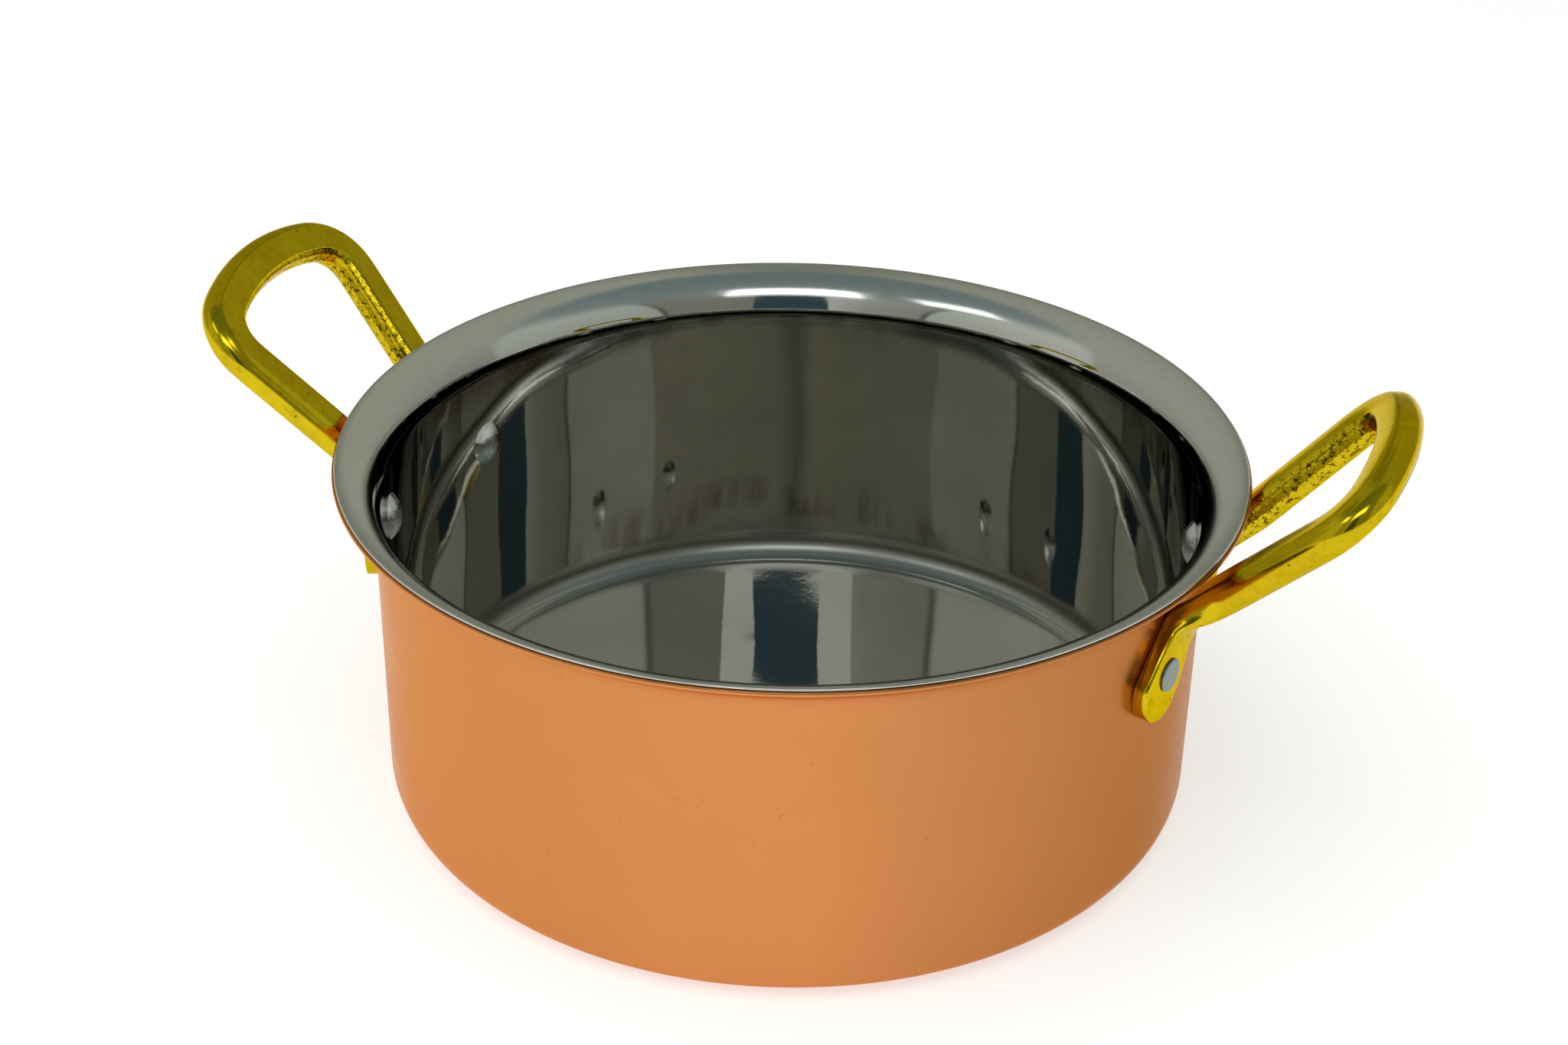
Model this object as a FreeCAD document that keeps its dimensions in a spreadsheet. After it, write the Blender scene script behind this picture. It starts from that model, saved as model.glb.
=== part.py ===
import FreeCAD, Part

import math
import os

import Sketcher

# Two-handled copper casserole, millimetres. The origin is the middle of the flat base, on the surface
# that the pan stands on. +Z is up, and the two handles lie along +X and -X.
#
# The pan is a spun copper shell over a stainless-steel liner. Both turn outward at the top into one
# flared lip, and the copper shows again as a thin line round the lip's edge. Each handle is one brass
# casting: a loop that leans out and up, and two leaf-shaped feet. A steel rivet holds each foot.

Vector = FreeCAD.Vector
Rotation = FreeCAD.Rotation
Placement = FreeCAD.Placement

DIMENSIONS = {
    # pan
    "lip_radius": 90.0,
    "pan_height": 73.0,
    "wall_radius": 82.5,
    "corner_radius": 6.5,
    "copper_gauge": 0.9,
    "liner_gauge": 0.6,
    # lip: one arc from the wall out to the edge, as the radius of the liner's upper face
    "lip_arc": 10.5,
    "lip_step": 0.45,
    "lip_edge_round": 0.28,
    # rivets; each was set by hand a little above or below the middle of its foot
    "rivet_angle": 16.5,
    "rivet_height": 50.4,
    "lift_right_back": 1.8,
    "lift_right_front": 0.3,
    "lift_left_front": 2.8,
    "lift_left_back": -2.9,
    "shank_radius": 2.4,
    "head_radius": 4.9,
    "head_rise": 2.4,
    "tail_radius": 3.3,
    "tail_rise": 0.5,
    # handle loop
    "loop_slope": 47.0,
    "neck_reach": 90.2,
    "neck_rise": 65.8,
    "neck_spread": 17.6,
    "loop_length": 31.6,
    "loop_spread": 25.2,
    "loop_bulge": 6.3,
    "loop_corner": 9.0,
    "rod_width": 8.4,
    "rod_depth": 5.9,
    "rod_round": 2.5,
    # feet
    "foot_gauge": 3.0,
    "foot_lean": 38.0,
    "foot_width": 13.0,
    "foot_round": 1.1,
}

FOOT_SINK = 1.6         # how far a foot is built past the wall's face before the wall trims it
FOOT_PULL = 13.0        # how strongly the bend above a foot keeps each end's direction
BEND_STEPS = (0.2, 0.4, 0.6, 0.8)
# the foot's leaf shape: drop below the rivet, and share of the full foot width there
FOOT_LEAF = [(-5.5, 0.85), (-3.0, 0.95), (0.0, 1.0), (2.6, 0.95), (4.6, 0.8), (6.2, 0.58), (7.1, 0.34)]
HOLE_LENGTH = 20.0
SEAT_SINK = 0.12        # how far a rivet head's flat back stands off the wall's curve
PLANES = {"XY": "XY_Plane", "XZ": "XZ_Plane"}
RIVET_SIDES = [("right_back", 0, 1), ("right_front", 0, -1), ("left_front", 180, 1), ("left_back", 180, -1)]

doc = FreeCAD.newDocument("casserole")
sheet = doc.addObject("Spreadsheet::Sheet", "Dimensions")
for row, (alias, value) in enumerate(DIMENSIONS.items(), start=1):
    sheet.set(f"A{row}", alias)
    sheet.set(f"B{row}", str(value))
    sheet.setAlias(f"B{row}", alias)
doc.recompute()


def size(alias):
    return float(getattr(sheet, alias))


def bound(alias, factor=""):
    return f"Dimensions.{alias}{factor}"


def new_body(label):
    body = doc.addObject("PartDesign::Body", label)
    body.Label = label
    return body


def new_sketch(body, name, plane="XY", offset=None):
    sketch = body.newObject("Sketcher::SketchObject", name)
    origin_plane = next(f for f in body.Origin.OriginFeatures if f.Role == PLANES[plane])
    sketch.AttachmentSupport = [(origin_plane, "")]
    sketch.MapMode = "FlatFace"
    if offset is not None:
        sketch.AttachmentOffset = offset
    return sketch


def name_size(sketch, constraint, name, expression):
    index = sketch.addConstraint(constraint)
    sketch.renameConstraint(index, name)
    sketch.setExpression("Constraints." + name, expression)


def point(x, y):
    return Vector(x, y, 0)


# ---------------------------------------------------------------- pan

def skin(depth):
    """Sizes and expressions of the pan's section at a depth below the copper's outer face.

    depth is a list of gauge aliases that lie between the outer face and this one.
    """
    total = sum(size(alias) for alias in depth)
    plus = "".join(" + " + bound(alias) for alias in depth)
    minus = "".join(" - " + bound(alias) for alias in depth)
    full = f"{bound('copper_gauge')} - {bound('liner_gauge')}"
    gauge = size("copper_gauge") + size("liner_gauge")
    return {
        "base": (total, "0" + plus),
        "wall": (size("wall_radius") - total, bound("wall_radius") + minus),
        "corner": (size("corner_radius") - total, bound("corner_radius") + minus),
        "lip": (size("lip_arc") - gauge + total, f"{bound('lip_arc')} - {full}{plus}"),
        "crest": (size("pan_height") - gauge + total, f"{bound('pan_height')} - {full}{plus}"),
    }


def pan_side(sketch, depth, edge_radius, side):
    """Draws one face of the pan's section from the axis to the lip. Returns its floor line and lip arc."""
    face = skin(depth)
    base, wall, corner = face["base"][0], face["wall"][0], face["corner"][0]
    lip_arc, crest = face["lip"][0], face["crest"][0]
    lip_centre = point(wall + lip_arc, crest - lip_arc)
    turn = math.acos((edge_radius[0] - lip_centre.x) / lip_arc)

    def arc(centre, radius, start, end):
        circle = Part.Circle(Vector(centre.x, centre.y, 0), Vector(0, 0, 1), radius)
        return sketch.addGeometry(Part.ArcOfCircle(circle, start, end))

    def line(start, end):
        return sketch.addGeometry(Part.LineSegment(start, end))

    floor = line(point(0, base), point(wall - corner, base))
    bend = arc(point(wall - corner, base + corner), corner, -math.pi / 2, 0)
    rise = line(point(wall, base + corner), point(wall, lip_centre.y))
    lip = arc(lip_centre, lip_arc, turn, math.pi)

    sketch.addConstraint(Sketcher.Constraint("PointOnObject", floor, 1, -2))
    sketch.addConstraint(Sketcher.Constraint("Horizontal", floor))
    sketch.addConstraint(Sketcher.Constraint("Tangent", floor, 2, bend, 1))
    sketch.addConstraint(Sketcher.Constraint("Tangent", bend, 2, rise, 1))
    sketch.addConstraint(Sketcher.Constraint("Vertical", rise))
    sketch.addConstraint(Sketcher.Constraint("Tangent", rise, 2, lip, 2))

    def bind(kind, name, key, *elements):
        value, expression = face[key]
        name_size(sketch, Sketcher.Constraint(kind, *elements, value), side + name, expression)

    if depth:
        bind("DistanceY", "Base", "base", -1, 1, floor, 1)
    else:
        sketch.addConstraint(Sketcher.Constraint("PointOnObject", floor, 1, -1))
    bind("DistanceX", "Wall", "wall", -1, 1, rise, 1)
    bind("Radius", "Corner", "corner", bend)
    bind("Radius", "LipArc", "lip", lip)
    name_size(sketch, Sketcher.Constraint("DistanceY", -1, 1, lip, 3, lip_centre.y), side + "LipCentre",
              f"({face['crest'][1]}) - ({face['lip'][1]})")
    name_size(sketch, Sketcher.Constraint("DistanceX", -1, 1, lip, 1, edge_radius[0]), side + "Edge",
              edge_radius[1])
    return floor, lip


def pan_layer(label, outer_depth, inner_depth, edge_radius):
    """A turned layer of the pan between two depths below the outer face, with its rivet holes."""
    body = new_body(label)
    sketch = new_sketch(body, label + "_section", "XZ")
    outer_floor, outer_lip = pan_side(sketch, outer_depth, edge_radius, "outer")
    inner_floor, inner_lip = pan_side(sketch, inner_depth, edge_radius, "inner")
    for outer, inner, end in ((outer_floor, inner_floor, 1), (outer_lip, inner_lip, 1)):
        join = sketch.addGeometry(Part.LineSegment(sketch.getPoint(outer, end), sketch.getPoint(inner, end)))
        sketch.addConstraint(Sketcher.Constraint("Coincident", join, 1, outer, end))
        sketch.addConstraint(Sketcher.Constraint("Coincident", join, 2, inner, end))
    turned = body.newObject("PartDesign::Revolution", label + "_turned")
    turned.Profile = sketch
    turned.ReferenceAxis = (sketch, ["V_Axis"])
    turned.Angle = 360
    doc.recompute()
    round_lip_edge(body, turned, edge_radius[0])
    for place, azimuth in rivet_azimuths().items():
        radial_hole(body, f"{label}_hole_{place}", azimuth, place)
    return body


def round_lip_edge(body, turned, radius):
    """Rounds both outermost edges of the lip."""
    rim = [f"Edge{number}" for number, edge in enumerate(turned.Shape.Edges, start=1)
           if isinstance(edge.Curve, Part.Circle) and abs(edge.Curve.Radius - radius) < 0.001]
    fillet = body.newObject("PartDesign::Fillet", turned.Name + "_edge")
    fillet.Base = (turned, rim)
    fillet.setExpression("Radius", bound("lip_edge_round"))
    doc.recompute()


def rivet_azimuths():
    return {place: side + sign * size("rivet_angle") for place, side, sign in RIVET_SIDES}


def radial(azimuth):
    return Rotation(Vector(0, 0, 1), azimuth)


def rivet_rise(place):
    return size("rivet_height") + size("lift_" + place)


def radial_hole(body, name, azimuth, place):
    """The hole of the rivet at a place, through the wall along the radius at an azimuth."""
    hole = body.newObject("PartDesign::SubtractiveCylinder", name)
    plane = next(f for f in body.Origin.OriginFeatures if f.Role == "XY_Plane")
    hole.AttachmentSupport = [(plane, "")]
    hole.MapMode = "FlatFace"
    start = radial(azimuth).multVec(Vector(size("wall_radius") - HOLE_LENGTH / 2, 0, rivet_rise(place)))
    along = radial(azimuth).multiply(Rotation(Vector(0, 1, 0), 90))
    hole.AttachmentOffset = Placement(start, along)
    hole.setExpression("Radius", bound("shank_radius"))
    hole.Height = HOLE_LENGTH
    doc.recompute()


# ---------------------------------------------------------------- rivets

def rivet(place, azimuth):
    """A domed head inside the pan, a shank through wall and foot, and a flat peened tail outside."""
    label = "rivet_" + place
    body = new_body(label)
    sketch = new_sketch(body, label + "_section", "XZ")
    inside = size("wall_radius") - size("copper_gauge") - size("liner_gauge")
    outside = size("wall_radius") + size("foot_gauge")
    head, rise, shank = size("head_radius"), size("head_rise"), size("shank_radius")
    tail, lift = size("tail_radius"), size("tail_rise")
    seat = inside - SEAT_SINK
    dome = (head ** 2 + rise ** 2) / (2 * rise)
    top = seat - rise
    half = math.asin(head / dome)
    corners = [point(seat, head), point(seat, shank), point(outside, shank), point(outside, tail),
               point(outside + lift, tail - lift), point(outside + lift, 0), point(top, 0)]
    lines = [sketch.addGeometry(Part.LineSegment(a, b)) for a, b in zip(corners, corners[1:])]
    circle = Part.Circle(Vector(top + dome, 0, 0), Vector(0, 0, 1), dome)
    cap = sketch.addGeometry(Part.ArcOfCircle(circle, math.pi - half, math.pi))
    for first, second in zip(lines, lines[1:]):
        sketch.addConstraint(Sketcher.Constraint("Coincident", first, 2, second, 1))
    sketch.addConstraint(Sketcher.Constraint("Coincident", cap, 1, lines[0], 1))
    sketch.addConstraint(Sketcher.Constraint("Coincident", cap, 2, lines[-1], 2))
    sketch.addConstraint(Sketcher.Constraint("PointOnObject", cap, 3, -1))
    for flat in (lines[0], lines[2], lines[4]):
        sketch.addConstraint(Sketcher.Constraint("Vertical", flat))
    for level in (lines[1], lines[5]):
        sketch.addConstraint(Sketcher.Constraint("Horizontal", level))
    sketch.addConstraint(Sketcher.Constraint("PointOnObject", lines[5], 2, -1))
    inner = f"{bound('wall_radius')} - {bound('copper_gauge')} - {bound('liner_gauge')} - {SEAT_SINK}"
    outer = f"{bound('wall_radius')} + {bound('foot_gauge')}"
    sizes = [("Seat", "DistanceX", (-1, 1, lines[0], 1), seat, inner),
             ("HeadTop", "DistanceX", (-1, 1, lines[5], 2), top, f"{inner} - {bound('head_rise')}"),
             ("Head", "DistanceY", (-1, 1, lines[0], 1), head, bound("head_radius")),
             ("Shank", "DistanceY", (-1, 1, lines[1], 1), shank, bound("shank_radius")),
             ("TailSeat", "DistanceX", (-1, 1, lines[2], 1), outside, outer),
             ("Tail", "DistanceY", (-1, 1, lines[3], 1), tail, bound("tail_radius")),
             ("TailTop", "DistanceX", (-1, 1, lines[4], 1), outside + lift,
              f"{outer} + {bound('tail_rise')}"),
             ("TailFlat", "DistanceY", (-1, 1, lines[4], 1), tail - lift,
              f"{bound('tail_radius')} - {bound('tail_rise')}")]
    for name, kind, elements, value, expression in sizes:
        name_size(sketch, Sketcher.Constraint(kind, *elements, value), name, expression)
    turned = body.newObject("PartDesign::Revolution", label + "_turned")
    turned.Profile = sketch
    turned.ReferenceAxis = (sketch, ["H_Axis"])
    turned.Angle = 360
    body.Placement = Placement(Vector(0, 0, rivet_rise(place)), radial(azimuth))
    doc.recompute()
    return body


# ---------------------------------------------------------------- handles

def frame_placement(centre, along, outward):
    """Where a section sketch lies: its own Z runs along the bar and its Y points outward."""
    z_axis = Vector(along).normalize()
    x_axis = Vector(outward).cross(z_axis).normalize()
    y_axis = z_axis.cross(x_axis)
    return Placement(centre, Rotation(x_axis, y_axis, z_axis, "ZXY"))


def bar_section(body, name, placement, width, depth, corner):
    """A rounded rectangle, centred on its sketch. Each size is a number and its expression."""
    sketch = new_sketch(body, name, "XY", placement)
    half_width, half_depth, radius = width[0] / 2, depth[0] / 2, corner[0]
    flat_x, flat_y = half_width - radius, half_depth - radius
    starts = [point(-flat_x, -half_depth), point(half_width, -flat_y),
              point(flat_x, half_depth), point(-half_width, flat_y)]
    ends = [point(flat_x, -half_depth), point(half_width, flat_y),
            point(-flat_x, half_depth), point(-half_width, -flat_y)]
    centres = [point(flat_x, -flat_y), point(flat_x, flat_y), point(-flat_x, flat_y), point(-flat_x, -flat_y)]
    sides, rounds = [], []
    for quarter in range(4):
        sides.append(sketch.addGeometry(Part.LineSegment(starts[quarter], ends[quarter])))
        circle = Part.Circle(centres[quarter], Vector(0, 0, 1), radius)
        first = (quarter - 1) * math.pi / 2
        rounds.append(sketch.addGeometry(Part.ArcOfCircle(circle, first, first + math.pi / 2)))
    for quarter in range(4):
        following = sides[(quarter + 1) % 4]
        sketch.addConstraint(Sketcher.Constraint("Tangent", sides[quarter], 2, rounds[quarter], 1))
        sketch.addConstraint(Sketcher.Constraint("Tangent", rounds[quarter], 2, following, 1))
    for quarter in range(3):
        sketch.addConstraint(Sketcher.Constraint("Equal", rounds[quarter], rounds[quarter + 1]))
    sketch.addConstraint(Sketcher.Constraint("Horizontal", sides[0]))
    sketch.addConstraint(Sketcher.Constraint("Vertical", sides[1]))
    sketch.addConstraint(Sketcher.Constraint("Symmetric", sides[0], 1, sides[2], 1, -1, 1))
    sketch.addConstraint(Sketcher.Constraint("Symmetric", sides[1], 1, sides[3], 1, -1, 1))
    name_size(sketch, Sketcher.Constraint("Radius", rounds[0], radius), "Corner", corner[1])
    name_size(sketch, Sketcher.Constraint("DistanceX", -1, 1, sides[1], 1, half_width), "HalfWidth",
              f"({width[1]}) / 2")
    name_size(sketch, Sketcher.Constraint("DistanceY", -1, 1, sides[2], 1, half_depth), "HalfDepth",
              f"({depth[1]}) / 2")
    return sketch


def loop_frame():
    """The leaning plane of the loop: its X runs out and up from the necks, its Y along the pan's side."""
    slope = math.radians(size("loop_slope"))
    out_and_up = Vector(math.cos(slope), 0, math.sin(slope))
    sideways = Vector(0, 1, 0)
    origin = Vector(size("neck_reach"), 0, size("neck_rise"))
    return Placement(origin, Rotation(out_and_up, sideways, out_and_up.cross(sideways), "ZXY"))


def loop_path(body):
    """The loop's centre line: two legs that part as they rise, round corners and a bowed end bar."""
    sketch = new_sketch(body, body.Label + "_path", "XY", loop_frame())
    neck, spread = size("neck_spread"), size("loop_spread")
    length, bulge, corner = size("loop_length"), size("loop_bulge"), size("loop_corner")
    bow = (spread ** 2 + bulge ** 2) / (2 * bulge)
    bow_centre = point(length + bulge - bow, 0)
    leg_length = math.hypot(length, spread - neck)
    leg = point(length / leg_length, (spread - neck) / leg_length)
    inward = point(leg.y, -leg.x)

    def corner_gap(along):
        """How far the corner arc, tangent to the leg at this length, stands off the bow."""
        centre = point(0, neck) + leg * along + inward * corner
        return (centre - bow_centre).Length - (bow - corner)

    low, high = 0.0, leg_length
    for _ in range(60):
        middle = (low + high) / 2
        low, high = (middle, high) if corner_gap(middle) < 0 else (low, middle)
    touch = point(0, neck) + leg * low
    centre = touch + inward * corner
    outward = (centre - bow_centre).normalize()
    lean = math.atan2(outward.y, outward.x)
    leg_side = math.atan2(-inward.y, -inward.x)

    def mirrored(p):
        return point(p.x, -p.y)

    def arc(middle, radius, start, end):
        return sketch.addGeometry(Part.ArcOfCircle(Part.Circle(middle, Vector(0, 0, 1), radius), start, end))

    first_leg = sketch.addGeometry(Part.LineSegment(point(0, neck), touch))
    first_turn = arc(centre, corner, lean, leg_side)
    end_bar = arc(bow_centre, bow, -lean, lean)
    last_turn = arc(mirrored(centre), corner, -leg_side, -lean)
    last_leg = sketch.addGeometry(Part.LineSegment(mirrored(touch), point(0, -neck)))
    sketch.addConstraint(Sketcher.Constraint("Tangent", first_leg, 2, first_turn, 2))
    sketch.addConstraint(Sketcher.Constraint("Tangent", first_turn, 1, end_bar, 2))
    sketch.addConstraint(Sketcher.Constraint("Tangent", end_bar, 1, last_turn, 2))
    sketch.addConstraint(Sketcher.Constraint("Tangent", last_turn, 1, last_leg, 1))
    sketch.addConstraint(Sketcher.Constraint("Symmetric", first_leg, 1, last_leg, 2, -1))
    sketch.addConstraint(Sketcher.Constraint("PointOnObject", first_leg, 1, -2))
    name_size(sketch, Sketcher.Constraint("Radius", first_turn, corner), "Corner", bound("loop_corner"))
    name_size(sketch, Sketcher.Constraint("DistanceY", -1, 1, first_leg, 1, neck), "Neck",
              bound("neck_spread"))
    return sketch, leg


def foot_point(drop):
    """The middle of a foot at a drop below its rivet, and the direction that faces out of the wall."""
    sideways = drop * math.tan(math.radians(size("foot_lean")))
    azimuth = size("rivet_angle") + math.degrees(sideways / size("wall_radius"))
    middle = size("wall_radius") + (size("foot_gauge") - FOOT_SINK) / 2
    centre = radial(azimuth).multVec(Vector(middle, 0, size("rivet_height") - drop))
    return centre, radial(azimuth).multVec(Vector(1, 0, 0))


def foot_upward(drop):
    return (foot_point(drop - 0.5)[0] - foot_point(drop + 0.5)[0]).normalize()


def ease(start, start_pull, end, end_pull, part):
    """A point and direction part way along a curve that leaves and arrives along the two pulls."""
    a, b = part * part * (3 - 2 * part), part * (1 - part) ** 2
    c = part * part * (part - 1)
    place = start * (1 - a) + end * a + start_pull * b + end_pull * c
    slope_a, slope_b = 6 * part * (1 - part), (1 - part) * (1 - 3 * part)
    slope_c = part * (3 * part - 2)
    along = (end - start) * slope_a + start_pull * slope_b + end_pull * slope_c
    return place, along.normalize()


def add_foot(body, neck_section, neck, leg_direction, under):
    """A leaf-shaped foot from the neck down the wall, and its mirror image on the other leg."""
    name = body.Label + "_foot"
    top_centre, top_outward = foot_point(FOOT_LEAF[0][0])
    bend = []
    for part in BEND_STEPS:
        centre, along = ease(neck, leg_direction * -FOOT_PULL, top_centre,
                             foot_upward(FOOT_LEAF[0][0]) * -FOOT_PULL, part)
        outward = under * (1 - part) + top_outward * part
        width = size("rod_width") * (1 - part) + FOOT_LEAF[0][1] * size("foot_width") * part
        depth = size("rod_depth") * (1 - part) + (size("foot_gauge") + FOOT_SINK) * part
        corner = size("rod_round") * (1 - part) + size("foot_round") * part
        mix = [f"{bound('rod_width')} * {1 - part:g} + {bound('foot_width')} * {FOOT_LEAF[0][1] * part:g}",
               f"{bound('rod_depth')} * {1 - part:g} + ({bound('foot_gauge')} + {FOOT_SINK}) * {part:g}",
               f"{bound('rod_round')} * {1 - part:g} + {bound('foot_round')} * {part:g}"]
        place = frame_placement(centre, along * -1, outward)
        bend.append(bar_section(body, f"{name}_bend_{len(bend) + 1}", place, (width, mix[0]),
                                (depth, mix[1]), (corner, mix[2])))
    leaf = []
    for drop, share in FOOT_LEAF:
        centre, outward = foot_point(drop)
        place = frame_placement(centre, foot_upward(drop), outward)
        leaf.append(bar_section(body, f"{name}_leaf_{len(leaf) + 1}", place,
                                (size("foot_width") * share, f"{bound('foot_width')} * {share}"),
                                (size("foot_gauge") + FOOT_SINK, f"{bound('foot_gauge')} + {FOOT_SINK}"),
                                (size("foot_round"), bound("foot_round"))))
    foot = body.newObject("PartDesign::AdditiveLoft", name)
    foot.Profile = neck_section
    foot.Sections = bend + leaf
    foot.Ruled = False
    doc.recompute()
    mirror = body.newObject("PartDesign::Mirrored", name + "_mirror")
    mirror.Originals = [foot]
    side_plane = next(f for f in body.Origin.OriginFeatures if f.Role == "XZ_Plane")
    mirror.MirrorPlane = (side_plane, [""])
    body.Tip = mirror
    doc.recompute()


def trim_to_wall(body):
    """Cuts the backs of the feet to the pan's wall."""
    wall = body.newObject("PartDesign::SubtractiveCylinder", body.Label + "_wall")
    plane = next(f for f in body.Origin.OriginFeatures if f.Role == "XY_Plane")
    wall.AttachmentSupport = [(plane, "")]
    wall.MapMode = "FlatFace"
    wall.setExpression("Radius", bound("wall_radius"))
    wall.setExpression("Height", bound("pan_height"))
    doc.recompute()


def handle(side, azimuth):
    """One brass handle, built at +X and turned to its place."""
    label = "handle_" + side
    body = new_body(label)
    path, leg = loop_path(body)
    to_pan = loop_frame()
    neck = to_pan.multVec(Vector(0, size("neck_spread"), 0))
    leg_direction = to_pan.Rotation.multVec(leg)
    under = to_pan.Rotation.multVec(Vector(0, 0, -1))
    neck_frame = frame_placement(neck, leg_direction, under)
    rod = [(size("rod_width"), bound("rod_width")), (size("rod_depth"), bound("rod_depth")),
           (size("rod_round"), bound("rod_round"))]
    section = bar_section(body, label + "_bar", neck_frame, *rod)
    bar = body.newObject("PartDesign::AdditivePipe", label + "_loop")
    bar.Profile = section
    bar.Spine = (path, [])
    doc.recompute()
    neck_section = bar_section(body, label + "_neck", neck_frame, *rod)
    add_foot(body, neck_section, neck, leg_direction, under)
    trim_to_wall(body)
    for place, middle, sign in RIVET_SIDES:
        if middle == azimuth:
            radial_hole(body, f"{label}_hole_{place}", sign * size("rivet_angle"), place)
    body.Placement = Placement(Vector(0, 0, 0), radial(azimuth))
    return body


parts = [
    pan_layer("copper_shell", [], ["copper_gauge"], (size("lip_radius"), bound("lip_radius"))),
    pan_layer("steel_liner", ["copper_gauge"], ["copper_gauge", "liner_gauge"],
              (size("lip_radius") - size("lip_step"), f"{bound('lip_radius')} - {bound('lip_step')}")),
    handle("right", 0),
    handle("left", 180),
]
parts += [rivet(place, azimuth) for place, azimuth in rivet_azimuths().items()]
doc.recompute()

for thing in doc.Objects:
    if any(flag in thing.State for flag in ("Invalid", "Error")):
        raise RuntimeError(f"{thing.Name} failed to build")
for part in parts:
    if part.Shape.isNull() or not part.Shape.isValid() or len(part.Shape.Solids) != 1:
        raise RuntimeError(f"{part.Label} is not one valid solid")

os.makedirs("parts", exist_ok=True)
for part in parts:
    part.Shape.exportStep(f"parts/{part.Label}.step")
    print(part.Label, round(part.Shape.Volume, 1))
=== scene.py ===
"""Looks of the two-handled copper casserole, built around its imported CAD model.

Shapes are worked out in millimetres in the CAD frame (origin in the middle of the base, +Z up, handles
along +X and -X) and turned into metres when a mesh is made.
"""
import math

import bpy
import numpy as np
from mathutils import Matrix, Vector

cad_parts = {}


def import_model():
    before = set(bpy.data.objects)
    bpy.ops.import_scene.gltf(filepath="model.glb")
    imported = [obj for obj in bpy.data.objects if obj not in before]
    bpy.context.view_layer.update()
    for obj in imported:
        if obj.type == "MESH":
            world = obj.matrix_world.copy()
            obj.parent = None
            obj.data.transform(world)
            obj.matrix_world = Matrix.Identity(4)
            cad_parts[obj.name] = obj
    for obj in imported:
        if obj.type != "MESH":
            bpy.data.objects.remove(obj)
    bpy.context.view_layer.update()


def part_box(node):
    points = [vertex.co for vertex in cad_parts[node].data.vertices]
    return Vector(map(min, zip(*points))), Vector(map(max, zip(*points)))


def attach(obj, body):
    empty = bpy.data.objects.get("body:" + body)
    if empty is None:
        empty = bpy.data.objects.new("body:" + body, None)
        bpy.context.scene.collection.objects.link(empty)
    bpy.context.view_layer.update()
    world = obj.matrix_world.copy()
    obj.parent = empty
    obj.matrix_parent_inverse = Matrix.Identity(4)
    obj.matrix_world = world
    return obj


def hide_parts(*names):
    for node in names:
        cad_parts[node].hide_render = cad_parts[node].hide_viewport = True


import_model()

MM = 0.001
rng = np.random.default_rng(7)

# ---------------------------------------------------------------- sizes, millimetres

liner_low, liner_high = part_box("steel_liner")
shell_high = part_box("copper_shell")[1]
LIP_RADIUS = shell_high[0] / MM
LINER_LIP = liner_high[0] / MM
COPPER_GAUGE = liner_low[2] / MM
LINER_GAUGE = 0.6
GAUGE = COPPER_GAUGE + LINER_GAUGE
HEIGHT = 73.0

WALL = 82.5             # radius of the copper's outer face
CORNER = 6.5            # outside radius between wall and base
LIP_ARC = 10.5          # radius of the liner's upper face, from the wall out to the lip's edge
DISH_START, DISH_RISE = 42.0, 0.55      # the liner's floor lifts a little towards the wall
TAPER = 1.3             # how much narrower the liner's bore is at the floor than under the lip
COPPER_EDGE = 0.3       # how far each layer's rounded edge bulges at the lip
LINER_EDGE = 0.25
SEAM = 0.02             # gap on each side of the face where copper and liner meet
AROUND = 360            # points of the pan round its axis

RIVET_ANGLE = 16.5
RIVET_HEIGHT = 50.4
RIVET_LIFT = {"right_back": 1.8, "right_front": 0.3, "left_front": 2.8, "left_back": -2.9}
HEAD_RADIUS, HEAD_RISE = 4.9, 2.4
TAIL_RADIUS, TAIL_RISE = 3.3, 0.5
SHANK_RADIUS = 2.4

FOOT_GAUGE = 3.0
FOOT_LEAN = math.radians(38.0)
FOOT_WIDTH = 13.0
FOOT_SINK = 1.6

LOOP_SLOPE = math.radians(47.0)
NECK = np.array([90.2, 17.6, 65.8])
LOOP_LENGTH = 31.6
LOOP_SPREAD = 25.2
RIGHT_LOOP = (0.983, 0.960)     # each loop's own length and width, as shares of the sizes above
LEFT_LOOP = (1.012, 1.025)
LOOP_BULGE = 6.3
LOOP_CORNER = 9.0
ROD_WIDTH = 8.4
ROD_DEPTH = 5.9
CROWN, RIDGE = 0.5, 0.35        # swell of the loop's broad faces, parting ridge on its inner face
UNDERCUT = 0.16         # share of a foot's width lost at the wall's side
FOOT_TOP = -5.5         # drop where the foot's leaf ends and the bend to the neck starts
FOOT_END = 7.3          # drop of the foot's rounded end
BEND_PULL = 13.0        # how strongly the bend above a foot keeps each end's direction
FOOT_CLEARANCE = 0.05   # gap between a foot's back and the wall


# ---------------------------------------------------------------- mesh helpers

def new_mesh(name, points, faces):
    mesh = bpy.data.meshes.new(name)
    mesh.from_pydata([tuple(p) for p in np.asarray(points) * MM], [], faces)
    mesh.update()
    mesh.shade_smooth()
    piece = bpy.data.objects.new(name, mesh)
    bpy.context.scene.collection.objects.link(piece)
    return piece


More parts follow.
